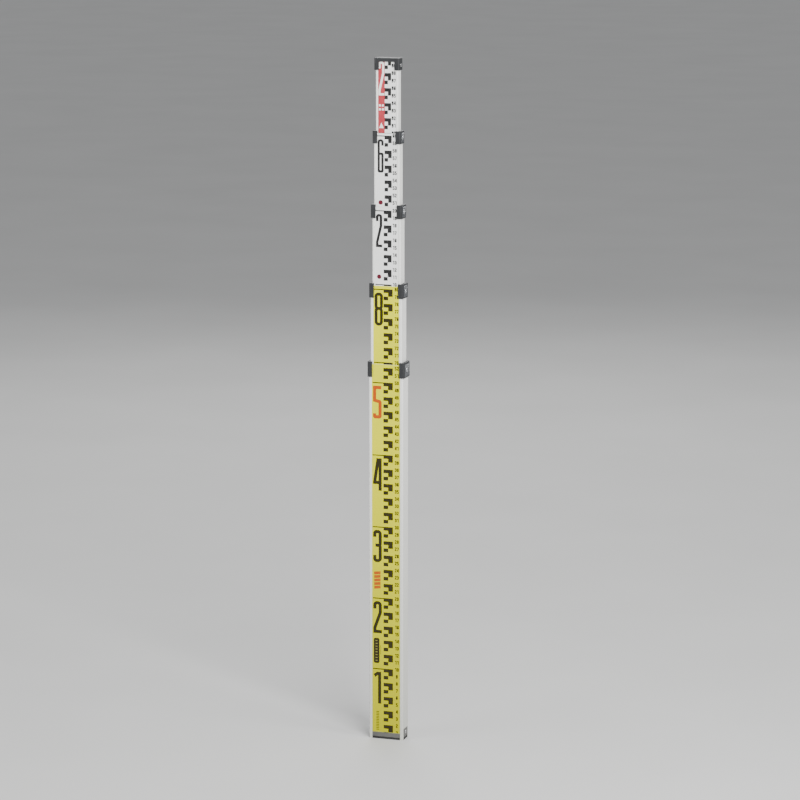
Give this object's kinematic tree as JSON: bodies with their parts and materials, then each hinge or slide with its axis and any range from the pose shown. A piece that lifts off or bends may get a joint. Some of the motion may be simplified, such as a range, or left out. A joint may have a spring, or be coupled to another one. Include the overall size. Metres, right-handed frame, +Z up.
{
  "type": "telescopic levelling staff",
  "caption": "Telescopic aluminium levelling staff with nested rectangular sections, collars with press-to-release lock levers, a printed scale face, a base plug and a top cap.",
  "frame": {"origin": "centre of the sole on the lowest section, on the ground", "axes": "+Z up the staff, the printed face looks along -Y, the lock levers are on the +X side"},
  "size_m": [0.0533, 0.0275, 0.9376],
  "materials": {
    "printed_yellow": "satin printed enamel on aluminium, white rims",
    "printed_white": "satin printed enamel on aluminium",
    "dark_plastic": "moulded, fine matte grain",
    "black_rubber": "matte",
    "bright_steel": "bright, lightly brushed",
    "spring_steel": "plain"
  },
  "bodies": {
    "section_1": {"tube_1": "printed_yellow", "base_plug": "dark_plastic", "base_sole": "black_rubber", "base_screw_left": "bright_steel", "base_screw_right": "bright_steel", "collar_1": "dark_plastic", "collar_rivet_1_left": "bright_steel", "collar_rivet_1_right": "bright_steel", "lever_pin_1": "spring_steel", "lever_spring_1": "spring_steel"},
    "section_2": {"tube_2": "printed_yellow", "guide_shoe_2": "dark_plastic", "collar_2": "dark_plastic", "collar_rivet_2_left": "bright_steel", "collar_rivet_2_right": "bright_steel", "lever_pin_2": "spring_steel", "lever_spring_2": "spring_steel"},
    "section_3": {"tube_3": "printed_white", "guide_shoe_3": "dark_plastic", "collar_3": "dark_plastic", "collar_rivet_3_left": "bright_steel", "collar_rivet_3_right": "bright_steel", "lever_pin_3": "spring_steel", "lever_spring_3": "spring_steel"},
    "section_4": {"tube_4": "printed_white", "guide_shoe_4": "dark_plastic", "collar_4": "dark_plastic", "collar_rivet_4_left": "bright_steel", "collar_rivet_4_right": "bright_steel", "lever_pin_4": "spring_steel", "lever_spring_4": "spring_steel"},
    "section_5": {"tube_5": "printed_white", "guide_shoe_5": "dark_plastic", "top_cap": "dark_plastic", "cap_screw_left": "bright_steel", "cap_screw_right": "bright_steel"},
    "lock_1": {"lock_lever_1": "bright_steel"},
    "lock_2": {"lock_lever_2": "bright_steel"},
    "lock_3": {"lock_lever_3": "bright_steel"},
    "lock_4": {"lock_lever_4": "bright_steel"}
  },
  "joints": [
    {"name": "draw_2", "type": "slide", "parent": "section_1", "child": "section_2", "axis": [0, 0, 1], "range_m": [-0.0869, 0.1725]},
    {"name": "draw_3", "type": "slide", "parent": "section_2", "child": "section_3", "axis": [0, 0, 1], "range_m": [-0.0877, 0.2936]},
    {"name": "draw_4", "type": "slide", "parent": "section_3", "child": "section_4", "axis": [0, 0, 1], "range_m": [-0.0815, 0.2996]},
    {"name": "draw_5", "type": "slide", "parent": "section_4", "child": "section_5", "axis": [0, 0, 1], "range_m": [-0.0803, 0.2967]},
    {"name": "lock_press_1", "type": "hinge", "parent": "section_1", "child": "lock_1", "pos_m": [0.02445, 0, 0.5174], "axis": [0, -1, 0], "range_deg": [0, 7], "stiffness_Nm_per_rad": 0.05, "springref_deg": -11.46, "deforming": ["lever_spring_1"]},
    {"name": "lock_press_2", "type": "hinge", "parent": "section_2", "child": "lock_2", "pos_m": [0.02233, 0, 0.62505], "axis": [0, -1, 0], "range_deg": [0, 7], "stiffness_Nm_per_rad": 0.05, "springref_deg": -11.46, "deforming": ["lever_spring_2"]},
    {"name": "lock_press_3", "type": "hinge", "parent": "section_3", "child": "lock_3", "pos_m": [0.0202, 0, 0.7322], "axis": [0, -1, 0], "range_deg": [0, 7], "stiffness_Nm_per_rad": 0.05, "springref_deg": -11.46, "deforming": ["lever_spring_3"]},
    {"name": "lock_press_4", "type": "hinge", "parent": "section_4", "child": "lock_4", "pos_m": [0.01808, 0, 0.83185], "axis": [0, -1, 0], "range_deg": [0, 7], "stiffness_Nm_per_rad": 0.05, "springref_deg": -11.46, "deforming": ["lever_spring_4"]}
  ]
}
